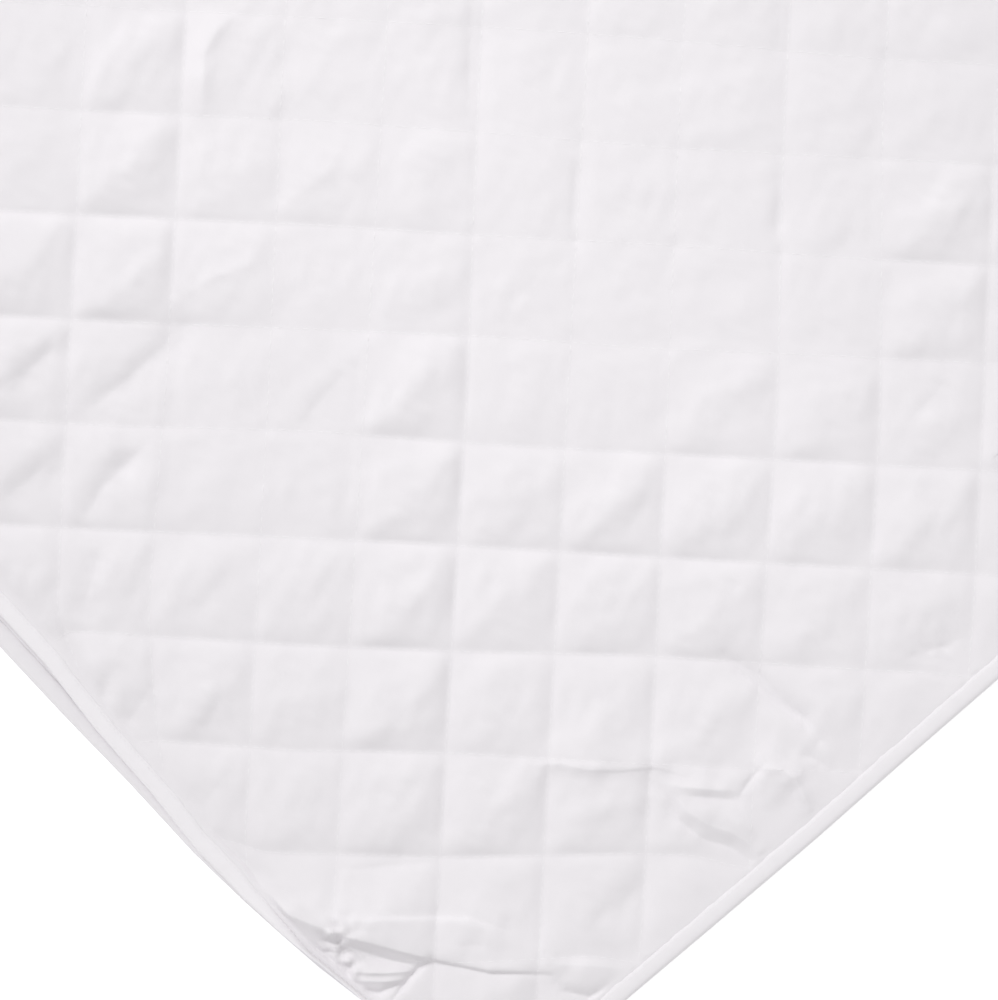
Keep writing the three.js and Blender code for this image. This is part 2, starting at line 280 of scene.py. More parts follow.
# Puckers in the upper face, where a seam pulls the cloth of a diamond: troughs, and ridges where the
# height is above nought. A narrow side is sharp.
PUCKERS = table(
    ("name", "height", "left", "right", "line"),
    ("long_pull", -3.6, 10, 17, ((122, 477), (141, 472), (201, 471), (220, 474))),
    ("pull_end", 1.0, 7, 4.5, ((212, 487), (233, 484), (256, 475))),
    ("dark_pull", -3.6, 8, 10, ((85, 426), (106, 434), (142, 436))),
    ("low_pull", -2.9, 9, 16, ((56, 467), (100, 466))),
    ("upper_pull", -2.2, 7, 14, ((100, 518), (121, 514), (150, 513))),
    ("thin_pull", -1.0, 4.5, 8, ((219, 384), (261, 390))),
    ("left_bend", -2.6, 8, 15, ((40, 381), (60, 394), (84, 409))),
    ("small_bend", -0.7, 6, 9, ((336, 350), (356, 353), (382, 356))),
    ("high_bend", 1.2, 12, 7, ((299, 486), (338, 484))),
    ("first_pinch", -1.5, 4.5, 10, ((414, 454), (459, 502))),
    ("second_pinch", -1.2, 4, 9, ((409, 358), (446, 395))),
    ("third_pinch", -1.2, 4, 9, ((497, 277), (527, 308))),
    ("fourth_pinch", -0.8, 4, 9, ((568, 355), (594, 381))),
    ("top_fold", 2.8, 6, 9, ((354, 588), (337, 588), (322, 583), (311, 572), (300, 560))),
    ("edge_bend", -2.4, 8, 11, ((22, 321), (49, 328))),
    ("edge_nick", -0.9, 4, 4.5, ((24, 341), (33, 350))),
    ("edge_dimple", -2.2, 17, 16, ((50, 292), (77, 291))),
    ("lower_dimple", -1.5, 10, 10, ((20, 257), (44, 259))),
    ("right_bend", -1.0, 5, 9, ((490, 146), (520, 151))),
    ("cross_pull", -5.0, 6, 4.5, ((313, 118), (314, 104), (317, 93), (318, 76), (322, 60), (320, 44))),
    ("side_nick", -1.5, 5, 3.5, ((305, 47), (311, 38), (314, 27))),
    ("side_knot", -2.6, 12, 9, ((389, 45), (421, 32))),
    ("end_slope", -1.2, 5, 5, ((62, 174), (110, 138))),
    ("corner_hollow", -2.0, 16, 14, ((146, 52), (192, 50))),
)

# Sharp folds of the gathered corner, again in the upper face, from the end towards the side
FOLDS = table(
    ("name", "height", "left", "right", "line"),
    ("lip_shoulder", 4.4, 13, 4.5, ((14, 192), (19, 182), (25, 169), (34, 151), (42, 138))),
    ("lip_edge", 2.8, 13, 1.8, ((33, 152), (39, 143), (64, 104), (86, 74), (111, 50))),
    ("lip_crest", 1.1, 3, 6, ((36, 162), (52, 143), (79, 120), (98, 103), (107, 78))),
    ("above_crest", -1.0, 5, 2.4, ((58, 143), (88, 114), (99, 104), (112, 82))),
    ("lip_hollow", -3.2, 2.5, 6.5, ((31, 144), (36, 137), (47, 117), (60, 99))),
    ("lip_line", -1.8, 2, 2.2, ((60, 106), (72, 91), (86, 72), (112, 47))),
    ("small_fold", -0.6, 4, 4, ((84, 96), (96, 84))),
    ("side_roll", 1.8, 5, 9, ((121, 68), (116, 58), (118, 49), (132, 36), (144, 22))),
    ("corner_line", -2.8, 4, 4, ((111, 41), (111, 35), (120, 22), (135, 14), (145, 16))),
    ("flap_shade", -3.4, 2.0, 2.2, ((66, 101), (50, 101), (34, 98))),
    ("upper_tuck", 2.4, 6, 1.6, ((24, 128), (40, 113), (55, 101))),
    ("lower_tuck", 1.4, 3, 1.5, ((24, 121), (37, 109), (47, 101))),
    ("pocket", -3.0, 2.5, 2.5, ((20, 117), (30, 106), (46, 101))),
    ("end_groove", -3.0, 2.5, 3, ((16, 180), (17, 161), (20, 146), (22, 131), (23, 118))),
    ("first_knot", -1.6, 2.2, 3, ((25, 152), (35, 141))),
    ("second_knot", -1.6, 2.2, 2.6, ((21, 147), (31, 136))),
    ("third_knot", -1.8, 2.2, 2.4, ((22, 136), (30, 127))),
    (
        "outer_line", 2.0, 9, 3.8,
        ((183, 147), (190, 142), (199, 135), (208, 122), (222, 109), (238, 97), (251, 78)),
    ),
    ("outer_groove", -1.0, 2.6, 4, ((206, 122), (221, 108), (238, 95), (248, 80))),
    ("inner_line", 2.0, 8, 3.4, ((237, 85), (243, 77), (254, 65), (264, 55))),
    ("inner_groove", -1.4, 3.0, 6, ((239, 74), (250, 62), (261, 50))),
    ("inner_rise", -1.6, 3.0, 2.6, ((264, 51), (272, 53), (287, 55))),
    ("fold_band", 1.5, 9, 3.6, ((238, 90), (235, 66), (239, 51), (247, 36), (253, 10))),
    ("fold_line", -0.9, 3, 3, ((233, 89), (228, 65), (231, 47), (240, 32), (246, 8))),
    ("wave_crest", 1.8, 3.2, 4, ((283, 56), (292, 46), (295, 37), (293, 27), (289, 15))),
    ("end_shadow", -2.0, 9, 6, ((18, 245), (21, 213), (22, 190))),
)

# Fine unevenness of cloth that has been washed: shallow waves, mostly across the pulls, and short
# crumples where the end is gathered
WAVES, DIMPLES, CRUMPLES = table(
    ("seed", "count", "shortest", "longest", "height", "spread"),
    (5, 26, 13.0, 42.0, 0.28, 36.0),
    (6, 18, 8.0, 15.0, 0.11, 55.0),
    (8, 18, 6.0, 12.0, 0.9, 90.0),
)
WAVE_GAIN = 1.6
CRUMPLE_SPOTS = table(
    ("along", "across", "reach", "share"),
    (37, 149, 9, 0.6),
    (31, 139, 9, 0.7),
    (28, 127, 8, 0.7),
    (278, 38, 16, 0.07),
    (405, 38, 14, 0.2),
    (96, 545, 14, 0.15),
)

# How creases end: in a taper over part of their length, down to a part of their height. Their
# sides fall away as a bell, broad for the ridges of the whole layer and sharper in its face.
TAPER = 0.3
CREASE_END = 0.3
BROAD_BELL = 2.0
SHARP_BELL = 1.5

# The share of the unevenness that is left at a seam, how far in from the border the folds come to
# their full height, and the lowest that they go
UNEVEN_AT_SEAM = 0.3
FOLDS_BEGIN = 4.0
LOWEST = -1.0

# The panel's stops: the border, fifths of a half diamond, and few where the cloth lies straight
FIFTHS = 5
STEP = HALF_DIAMOND / FIFTHS
BORDER = [row["inward"] for row in EDGE_SLOPE]
FIFTHS_ALONG = range(-31, 82)
FIFTHS_ACROSS = range(-24, 78)
LOWER_STOPS = [860, 700, 560, 430, 320, 240, 160, 120, 80, 60, 40, 24, *reversed(BORDER)]


def smooth(low, high, value):
    share = np.clip((value - low) / (high - low), 0.0, 1.0)
    return share * share * (3.0 - 2.0 * share)


def column(rows, name):
    return np.array([row[name] for row in rows], float)


def read_off(rows, name, by, place):
    """What one column of a table says at a place, going by another of its columns."""
    return np.interp(place, column(rows, by), column(rows, name))


def diamond_place(along, across):
    """Distances from the first crossing, past the corner to the right and towards the corner."""
    u, v = along - CROSSING_ALONG, across - CROSSING_ACROSS
    return (u - v) / math.sqrt(2.0), -(u + v) / math.sqrt(2.0)


def read_seams(seams, places, seat, run):
    """What a table of seams says at a seat among them, at a place on their run."""
    stops = list(places.values())
    seats = column(seams, "seam") * PITCH
    value = np.zeros_like(seat)
    for number, name in enumerate(places):
        share = np.interp(run, stops, np.eye(len(stops))[number])
        value += share * np.interp(seat, seats, column(seams, name))
    return value


def plan_place(along, across, layer):
    """Where a point of a layer comes in plan, with the edges drawn in at the gathered corner."""
    end_draw = read_off(END_DRAW, layer, "across", across)
    side_draw = read_off(SIDE_DRAW, "inward", "along", along)
    placed_along = along + end_draw * (1.0 - smooth(0.0, DRAW_REACH, along))
    placed_across = across + side_draw * (1.0 - smooth(0.0, DRAW_REACH, across))
    if layer == "upper":
        aside = read_off(END_DRAW, "aside", "across", across)
        placed_across = placed_across - aside * (1.0 - smooth(0.0, DRAW_REACH, along))
        lost = 1.0 - read_off(END_ROLL, "width", "across", across)
        eased = 1.0 - smooth(TAPE_EDGE, ROLL_REACH, along)
        placed_along = placed_along - lost * np.clip(along, 0.0, TAPE_EDGE) * eased
    return placed_along, placed_across


def quilted_place(along, across):
    """The same on the upper layer, where the seams also wander from the straight."""
    placed_along, placed_across = plan_place(along, across, "upper")
    right, near = diamond_place(along, across)
    shift_right = AWAY_STRETCH * np.clip(right, -STRETCH_REACH, STRETCH_REACH)
    shift_right += read_seams(AWAY_SEAMS, AWAY_PLACES, right, near)
    shift_near = PAST_STRETCH * np.clip(near, -STRETCH_REACH, STRETCH_REACH)
    shift_near += read_seams(PAST_SEAMS, PAST_PLACES, near, right)
    end_draw = read_off(END_DRAW, "upper", "across", across)
    free = smooth(SLOPE_TOP, SLOPE_TOP + np.maximum(HELD_AT_END, 2.0 * end_draw), along)
    free = free * smooth(SLOPE_TOP, HELD_AT_SIDE, across)
    free = free * (1.0 - smooth(STRAIGHT_FROM, STRAIGHT_ACROSS, across))
    free = free * (1.0 - smooth(STRAIGHT_FROM, STRAIGHT_ALONG, along))
    wanted_along = along + (shift_right - shift_near) / math.sqrt(2.0)
    wanted_across = across - (shift_right + shift_near) / math.sqrt(2.0)
    return (
        placed_along + free * (wanted_along - placed_along),
        placed_across + free * (wanted_across - placed_across),
    )


def beside_line(line, along, across):
    """For each straight part of a line: how far off a place is in plan, on which hand, from -1 on
    the right to 1 on the left, and the share of the whole line that is travelled beside it."""
    points = np.array(line, float)
    runs = np.diff(points, axis=0)
    lengths = np.hypot(runs[:, 0], runs[:, 1])
    passed = 0.0
    for start, run, length in zip(points, runs, lengths):
        u, v = along - start[0], across - start[1]
        share = np.clip((u * run[0] + v * run[1]) / length**2, 0.0, 1.0)
        away = np.hypot(u - share * run[0], v - share * run[1])
        leftward = (run[0] * v - run[1] * u) / (length * np.maximum(away, 1e-6))
        yield away, leftward, (passed + share * length) / lengths.sum()
        passed += length


def raised(rows, along, across, bell):
    """How far the cloth stands up or dips at a place in plan, by the rows of one table."""
    height = np.zeros_like(along)
    for row in rows:
        nearest = np.full_like(along, np.inf)
        shape = np.zeros_like(along)
        for away, leftward, travelled in beside_line(row["line"], along, across):
            width = row["right"] + (row["left"] - row["right"]) * smooth(-1.0, 1.0, leftward)
            ends = smooth(0.0, TAPER, travelled) * smooth(0.0, TAPER, 1.0 - travelled)
            swell = CREASE_END + (1.0 - CREASE_END) * ends
            swell = swell * np.exp(-((away / width) ** bell))
            shape = np.where(away < nearest, swell, shape)
            nearest = np.minimum(nearest, away)
        height += row["height"] * shape
    return height


def away_from(rows, along, across):
    """Distance in plan to the nearest line of one table."""
    nearest = np.full_like(along, np.inf)
    for row in rows:
        for away, _, _ in beside_line(row["line"], along, across):
            nearest = np.minimum(nearest, away)
    return nearest


def laid(route, across, height):
    """Where a point of the flat protector comes to lie, in millimetres in the part's own frame.
    Route runs from the upper end over the fold, and height towards the quilted face."""
    along = np.minimum(route, FOLD_ALONG)
    x, y = quilted_place(along, across)
    level_x, level_y = quilted_place(
        np.maximum(along, TAPE_EDGE), np.clip(across, TAPE_EDGE, WIDTH - TAPE_EDGE)
    )
    rise = FOLD_HEIGHT + FOLD_RADIUS - UPPER_MIDDLE
    climb = rise * smooth(FOLD_ALONG - FOLD_CLIMB, FOLD_ALONG, along)
    roll = read_off(END_ROLL, "rise", "across", across)
    roll = roll * (1.0 - np.clip(along / TAPE_EDGE, 0.0, 1.0))
    z = UPPER_MIDDLE + raised(RIDGES, level_x, level_y, BROAD_BELL) + climb + roll + height
    turn = math.pi / 2.0 - (np.clip(route, FOLD_ALONG, FOLD_END) - FOLD_ALONG) / FOLD_RADIUS
    on_fold = (route > FOLD_ALONG) & (route < FOLD_END)
    x = np.where(on_fold, FOLD_ALONG + (FOLD_RADIUS + height) * np.cos(turn), x)
    z = np.where(on_fold, FOLD_HEIGHT + (FOLD_RADIUS + height) * np.sin(turn), z)
    under = route >= FOLD_END
    under_x, under_y = plan_place(FOLD_ALONG - (route - FOLD_END), across, "lower")
    x = np.where(under, under_x, x)
    y = np.where(under, under_y, y)
    z = np.where(under, LOWER_MIDDLE - height, z)
    return np.stack([x - FOLDED_LENGTH / 2.0, y - WIDTH / 2.0, z], axis=-1)


def edge_distances(route, across):
    """Distances to the nearest bound end, counting none on the fold, and to the nearest side."""
    return np.minimum(route, FLAT_LENGTH - route), np.minimum(across, WIDTH - across)


lots = np.random.default_rng(41)
both_ways = (DIAMONDS_EACH_WAY, DIAMONDS_EACH_WAY)
fullness = lots.uniform(*FULLNESS_DRAWN, both_ways)
ridge_shift = lots.uniform(*SHIFTS_DRAWN, both_ways) * RIDGE_SHIFT
bent = lots.uniform(*BENT_DRAWN, both_ways)
for strip in DIAMONDS:
    for number, (sharpness, share) in enumerate(zip(strip["bent"], strip["full"])):
        bent[FIRST_DIAMOND + number, strip["past"]] = sharpness
        fullness[FIRST_DIAMOND + number, strip["past"]] = share


def of_diamond(values, right, near):
    """A value kept for each diamond, with a soft change where two diamonds meet."""
    beside_seam = []
    for place in (right, near):
        first = np.floor(place / PITCH - 0.5).astype(int)
        from_seam = place - (first + 1) * PITCH
        past_seam = smooth(-SEAM_BLEND, SEAM_BLEND, from_seam)
        cells = first % DIAMONDS_EACH_WAY, (first + 1) % DIAMONDS_EACH_WAY
        beside_seam.append(list(zip(cells, (1.0 - past_seam, past_seam))))
    blended = np.zeros_like(right)
    for right_cell, right_share in beside_seam[0]:
        for near_cell, near_share in beside_seam[1]:
            blended += right_share * near_share * values[right_cell, near_cell]
    return blended


def diamond_fill(right, near):
    """How full the wadding stands in its diamond, from none at a drawn seam to about one."""
    pillow, drawn = np.ones_like(right), np.ones_like(right)
    for seams, places, seat, run in (
        (AWAY_DEPTHS, AWAY_DEPTH_PLACES, right, near),
        (PAST_DEPTHS, PAST_DEPTH_PLACES, near, right),
    ):
        depth = read_seams(seams, places, seat, run)
        away = np.abs(seat - PITCH * np.round(seat / PITCH))
        away = np.sqrt(away**2 + SEAM_ROUNDING**2) - SEAM_ROUNDING
        pillow *= 1.0 - depth * np.exp(-away / SEAM_SOFTNESS)
        drawn *= 1.0 - np.exp(-away / RIDGE_SOFTNESS)
    cells = [np.floor(place / PITCH).astype(int) % DIAMONDS_EACH_WAY for place in (right, near)]
    shift = ridge_shift[cells[0], cells[1]]
    off_crest = (PITCH - right % PITCH - near % PITCH) / math.sqrt(2.0) - shift
    reach = HALF_DIAMOND - np.sign(off_crest) * shift
    ridge = 1.0 - (np.sqrt(off_crest**2 + RIDGE_ROUNDING**2) - RIDGE_ROUNDING) / reach
    on_crest = (right % PITCH - near % PITCH) / math.sqrt(2.0)
    ridge *= 1.0 - CREST_DROOP * (on_crest / HALF_DIAMOND) ** 2
    ridge = ridge * drawn + RIDGE_FOOT * pillow * (1.0 - drawn)
    share = of_diamond(bent, right, near)
    fill = (1.0 - share) * PILLOW_FULLNESS * pillow + share * ridge
    return of_diamond(fullness, right, near) * fill


def rippled(sizes, along, across):
    """A sum of straight waves that run roughly along the cloth, of a steady average height."""
    lots = np.random.default_rng(sizes["seed"])
    height = np.zeros_like(along)
    for _ in range(sizes["count"]):
        length = lots.uniform(sizes["shortest"], sizes["longest"])
        heading = math.radians(90.0 + lots.normal(0.0, sizes["spread"]))
        start = lots.uniform(0.0, 2.0 * math.pi)
        run = along * math.cos(heading) + across * math.sin(heading)
        wave = np.sin(2.0 * math.pi * run / length + start)
        height += wave * length / sizes["longest"]
    return height * sizes["height"] / math.sqrt(sizes["count"] / 2.0) * WAVE_GAIN


def quilted_height(route, across):
    """The height of the quilted face over the middle of the cloth, puckers and creases included."""
    right, near = diamond_place(route, across)
    shape = diamond_fill(right, near)
    to_end, to_side = edge_distances(route, across)
    to_edge = np.maximum(np.minimum(to_end, to_side) - SLOPE_TOP, 0.0)
    shape = shape * (1.0 - np.exp(-to_edge / SEAM_SOFTNESS))
    crown = CROWN + (CROWN_AT_FOLD - CROWN) * smooth(FOLD_ALONG - PITCH, FOLD_ALONG, route)
    from_knot = (right - PITCH * np.round(right / PITCH)) ** 2
    from_knot = from_knot + (near - PITCH * np.round(near / PITCH)) ** 2
    knots = KNOT_DEPTH * np.exp(-from_knot / KNOT_REACH**2)
    height = SEAM_HEIGHT + crown * shape - knots
    height = height + (EDGE_HEIGHT - SEAM_HEIGHT) * np.exp(-to_edge / EDGE_REACH)
    x, y = quilted_place(np.minimum(route, FOLD_ALONG), across)
    on_upper = 1.0 - smooth(FOLD_ALONG - FOLD_CLIMB, FOLD_ALONG, route)
    folds = raised(PUCKERS, x, y, SHARP_BELL) + raised(FOLDS, x, y, SHARP_BELL)
    uneven = rippled(WAVES, x, y) + rippled(DIMPLES, x, y)
    folds += uneven * (UNEVEN_AT_SEAM + (1.0 - UNEVEN_AT_SEAM) * np.clip(shape, 0.0, 1.0))
    crumpled = np.zeros_like(x)
    for spot in CRUMPLE_SPOTS:
        away = np.hypot(x - spot["along"], y - spot["across"]) / spot["reach"]
        crumpled += spot["share"] * np.exp(-(away**2))
    folds += crumpled * rippled(CRUMPLES, x, y)
    height = height + folds * on_upper * smooth(0.0, FOLDS_BEGIN, to_edge)
    height = np.maximum(height, LOWEST)
    under = smooth(FOLD_END - FOLD_RADIUS, FOLD_END, route)
    return height + (LAYER / 2.0 - height) * under


def deselect_everything():
    bpy.ops.object.select_all(action="DESELECT")
    bpy.context.view_layer.objects.active = None


def flat_grid(name, columns, rows):
    """A flat sheet of faces whose corners stand at these distances, as a new selected object."""
    deselect_everything()
    bpy.ops.mesh.primitive_grid_add(
        x_subdivisions=len(columns) - 1, y_subdivisions=len(rows) - 1, size=2.0
    )
    sheet = bpy.context.object
    sheet.name = name
    sheet.data.name = name
    places = read_places(sheet)
    across_columns = np.rint((places[:, 0] + 1.0) / 2.0 * (len(columns) - 1)).astype(int)
    across_rows = np.rint((places[:, 1] + 1.0) / 2.0 * (len(rows) - 1)).astype(int)
    places[:, 0] = np.array(columns)[across_columns]
    places[:, 1] = np.array(rows)[across_rows]
    write_places(sheet, places)
    return sheet


def read_places(piece):
    places = np.empty(len(piece.data.vertices) * 3)
    piece.data.vertices.foreach_get("co", places)
    return places.reshape(-1, 3)


def write_places(piece, places):
    piece.data.vertices.foreach_set("co", places.ravel())
    piece.data.update()


def face_middles(piece):
    middles = np.empty(len(piece.data.polygons) * 3)
    piece.data.polygons.foreach_get("center", middles)
    return middles.reshape(-1, 3)


def edit_faces(piece, chosen, work):
    """Does some work in edit mode on the chosen faces, given as one truth value a face."""
    mesh = piece.data
    mesh.vertices.foreach_set("select", np.zeros(len(mesh.vertices), bool))
    mesh.edges.foreach_set("select", np.zeros(len(mesh.edges), bool))
    mesh.polygons.foreach_set("select", chosen)
    bpy.context.tool_settings.mesh_select_mode = (False, False, True)
    bpy.ops.object.mode_set(mode="EDIT")
    work()
    bpy.ops.object.mode_set(mode="OBJECT")


def write_cloth_map(piece, flat):
    """Maps a piece by its flat places, halved so that the whole sheet fits the unit square."""
    cloth_map = piece.data.uv_layers.active
    cloth_map.name = "Cloth"
    corners = np.empty(len(piece.data.loops), int)
    piece.data.loops.foreach_get("vertex_index", corners)
    cloth_map.data.foreach_set("uv", (flat[corners, :2] * MM / 2.0).ravel())


route_stops = BORDER + [CROSSING_ALONG + STEP * count for count in FIFTHS_ALONG]
route_stops += [FLAT_LENGTH - stop for stop in LOWER_STOPS]
across_stops = BORDER + [CROSSING_ACROSS + STEP * count for count in FIFTHS_ACROSS]
across_stops += [WIDTH - stop for stop in reversed(BORDER)]
panel = flat_grid("quilted_cloth_panel", route_stops, across_stops)


def cut_in_two(piece, chosen, method):
    edit_faces(piece, chosen, lambda: bpy.ops.mesh.quads_convert_to_tris(quad_method=method))


# Each face is cut into triangles along the seam that runs through its half diamond
middles = face_middles(panel)
block_along = np.floor((middles[:, 0] - CROSSING_ALONG) / HALF_DIAMOND)
block_across = np.floor((middles[:, 1] - CROSSING_ACROSS) / HALF_DIAMOND)
cut_in_two(panel, (block_along + block_across) % 2 == 0, "FIXED")
corners = np.array([len(face.vertices) for face in panel.data.polygons])
cut_in_two(panel, corners == 4, "FIXED_ALTERNATE")

wadding = panel.modifiers.new("wadding", "SOLIDIFY")
wadding.thickness = LAYER
wadding.offset = -1.0
bpy.ops.object.modifier_apply(modifier=wadding.name)


def refine(piece, chosen, cuts):
    edit_faces(piece, chosen, lambda: bpy.ops.mesh.subdivide(number_cuts=cuts, smoothness=0.0))


# The quilted face is cut finer in the camera's view, finest along the folds, and all of the cloth is
# cut finer at the fold. Reaches are from the middle of the view, or from a crease.
FINE_REACH = 293.0
PUCKER_REACH = 4.0
CREASE_REACH = 6.5
SHARP_REACH = 2.2
FINE_CUTS = 2
CREASE_CUTS = 1
FOLD_CUTS = 3
view_turn = math.radians(-VIEW_TURN)


def quilted_faces(piece):
    """Which faces are quilted ones, clear of the border, and the places of all faces in plan."""
    route, across, height = face_middles(piece).T
    to_end, to_side = edge_distances(route, across)
    quilted = (height > -LAYER / 4.0) & (np.minimum(to_end, to_side) > SLOPE_TOP)
    return quilted, *quilted_place(np.minimum(route, FOLD_ALONG), across)


quilted, x, y = quilted_faces(panel)
x = x - FOLDED_LENGTH / 2.0 - VIEW_CENTRE[0] / MM
y = y - WIDTH / 2.0 - VIEW_CENTRE[1] / MM
seen_right = x * math.cos(view_turn) - y * math.sin(view_turn)
seen_up = x * math.sin(view_turn) + y * math.cos(view_turn)
in_view = (np.abs(seen_right) < FINE_REACH) & (np.abs(seen_up) < FINE_REACH)
refine(panel, quilted & in_view, FINE_CUTS)
for pucker_reach, fold_reach in ((PUCKER_REACH, CREASE_REACH), (0.0, SHARP_REACH)):
    quilted, x, y = quilted_faces(panel)
    creased = (away_from(PUCKERS, x, y) < pucker_reach) | (away_from(FOLDS, x, y) < fold_reach)
    refine(panel, quilted & creased, CREASE_CUTS)
middles = face_middles(panel)
at_fold = (middles[:, 0] > FOLD_ALONG - STEP) & (middles[:, 0] < FOLD_END + STEP)
refine(panel, at_fold, FOLD_CUTS)

flat = read_places(panel)
route, across = flat[:, 0], flat[:, 1]
to_end, to_side = edge_distances(route, across)
to_edge = np.minimum(to_end, to_side)
on_top = flat[:, 2] > -LAYER / 4.0
on_back = flat[:, 2] < -LAYER * 3.0 / 4.0
plain = read_off(EDGE_SLOPE, "plain", "inward", to_edge)
quilted = read_off(EDGE_SLOPE, "quilted", "inward", to_edge)
quilted = np.where(route > FOLD_END, plain, quilted)
height = np.where(on_top, quilted_height(route, across), 0.0)
height = np.where(on_top & (to_edge < SLOPE_TOP), quilted, height)
height = np.where(on_back, -plain, height)
between = ~on_top & ~on_back
height = np.where(between, (flat[:, 2] + LAYER / 2.0) * 2.0 * plain / LAYER, height)
write_places(panel, laid(route, across, height) * MM)
write_cloth_map(panel, flat)
bpy.ops.object.shade_smooth()
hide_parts("quilted_panel")
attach(panel, "root")

# The plain cotton weave that the cloth, the tape and the thread share: over-and-under threads with
# a slight unevenness, as a height for bump and a shade for colour.
weave = bpy.data.node_groups.new("cotton_weave", "ShaderNodeTree")
for name, way, kind in (
    ("Cloth", "INPUT", "Vector"),
    ("Threads", "INPUT", "Float"),
    ("Lumps", "INPUT", "Float"),
    ("Height", "OUTPUT", "Float"),
    ("Shade", "OUTPUT", "Float"),
):
    weave.interface.new_socket(name, in_out=way, socket_type="NodeSocket" + kind)
WHITE = (1.0, 1.0, 1.0, 1.0)
BLACK = (0.0, 0.0, 0.0, 1.0)


def add_node(tree, kind, **settings):
    node = tree.nodes.new(kind)
    for name, value in settings.items():
        setattr(node, name, value)
    return node


def set_inputs(node, values):
    for name, value in values.items():
        node.inputs[name].default_value = value


def join(tree, source, target):
    tree.links.new(source, target)


def math_node(tree, operation, *values):
    """A math node whose inputs are numbers or other nodes' outputs."""
    node = add_node(tree, "ShaderNodeMath", operation=operation)
    for socket, value in zip(node.inputs, values):
        if isinstance(value, (int, float)):
            socket.default_value = value
        else:
            join(tree, value, socket)
    return node.outputs[0]


weave_in = add_node(weave, "NodeGroupInput")
weave_out = add_node(weave, "NodeGroupOutput")
scaled = add_node(weave, "ShaderNodeVectorMath", operation="SCALE")
join(weave, weave_in.outputs["Cloth"], scaled.inputs[0])
join(weave, weave_in.outputs["Threads"], scaled.inputs["Scale"])
parts = add_node(weave, "ShaderNodeSeparateXYZ")
join(weave, scaled.outputs[0], parts.inputs[0])


def thread_backs(coordinate):
    """The round backs of one set of threads, one unit apart."""
    turned = math_node(weave, "MULTIPLY", coordinate, math.pi)
    return math_node(weave, "ABSOLUTE", math_node(weave, "SINE", turned))


over = add_node(weave, "ShaderNodeTexChecker")
set_inputs(over, {"Color1": WHITE, "Color2": BLACK, "Scale": 1.0})
join(weave, scaled.outputs[0], over.inputs["Vector"])
threads = add_node(weave, "ShaderNodeMix", data_type="FLOAT")
join(weave, over.outputs["Fac"], threads.inputs[0])
join(weave, thread_backs(parts.outputs[0]), threads.inputs[2])
join(weave, thread_backs(parts.outputs[1]), threads.inputs[3])
lumps = add_node(weave, "ShaderNodeTexNoise")
set_inputs(lumps, {"Detail": 3.0})
join(weave, weave_in.outputs["Cloth"], lumps.inputs["Vector"])
join(weave, weave_in.outputs["Lumps"], lumps.inputs["Scale"])
join(weave, threads.outputs[0], weave_out.inputs["Height"])
join(weave, lumps.outputs["Fac"], weave_out.inputs["Shade"])


def cloth_material(name, light, dark, threads_a_metre, lumps_a_metre, roughness):
    """Matt white cotton whose colour wanders between light and dark."""
    material = bpy.data.materials.new(name)
    material.use_nodes = True
    tree = material.node_tree
    shader = tree.nodes["Principled BSDF"]
    set_inputs(shader, {"Roughness": roughness, "Specular IOR Level": 0.25})
    set_inputs(shader, {"Sheen Weight": 0.08, "Sheen Roughness": 0.6})
    place = add_node(tree, "ShaderNodeUVMap", uv_map="Cloth")
    metres = add_node(tree, "ShaderNodeVectorMath", operation="SCALE")
    set_inputs(metres, {"Scale": 2.0})
    join(tree, place.outputs[0], metres.inputs[0])
    cotton = add_node(tree, "ShaderNodeGroup", node_tree=weave)
    set_inputs(cotton, {"Threads": threads_a_metre, "Lumps": lumps_a_metre})
    join(tree, metres.outputs[0], cotton.inputs["Cloth"])
    colour = add_node(tree, "ShaderNodeMix", data_type="RGBA")
    set_inputs(colour, {6: (*light, 1.0), 7: (*dark, 1.0)})
    join(tree, cotton.outputs["Shade"], colour.inputs[0])
    join(tree, colour.outputs[2], shader.inputs["Base Color"])
    weave_bump = add_node(tree, "ShaderNodeBump")
    set_inputs(weave_bump, {"Strength": 0.5, "Distance": 0.00012})
    join(tree, cotton.outputs["Height"], weave_bump.inputs["Height"])
    join(tree, weave_bump.outputs[0], shader.inputs["Normal"])
    return material


quilted_cotton = cloth_material(
    "quilted_cotton",
    light=(0.822, 0.798, 0.822),
    dark=(0.792, 0.768, 0.793),
    threads_a_metre=2600.0,
    lumps_a_metre=60.0,
    roughness=0.95,
)
panel.data.materials.clear()
panel.data.materials.append(quilted_cotton)

# The binding: white cotton tape folded over all four edges and sewn down with one row of stitches.
# Each tape is a flat strip, folded lengthwise round the cloth's pressed edge, a little puckered.
TAPE = 0.9
BINDING_WIDTH = 11.0
TAPE_MIDDLE = LAYER / 2.0 - TAPE / 2.0
TAPE_LEG = BINDING_WIDTH - TAPE / 2.0 - TAPE_MIDDLE
NOSE_HALF = TAPE_MIDDLE * math.pi / 2.0
TAPE_HALF_WIDTH = NOSE_HALF + TAPE_LEG
TAPE_LIGHT = (0.855, 0.832, 0.855)
TAPE_DARK = (0.825, 0.803, 0.827)
TAPE_STATION = 4.0
TAPE_END = 11.3
STITCH_ROW = 9.0
STITCH_PLACE = NOSE_HALF + STITCH_ROW - TAPE / 2.0 - TAPE_MIDDLE
TAPE_PLACES = (0.95, 1.9, NOSE_HALF, 4.8, 7.0, STITCH_PLACE, 10.6, TAPE_HALF_WIDTH)
TAPE_ROWS = [-place for place in reversed(TAPE_PLACES)] + [0.0] + list(TAPE_PLACES)

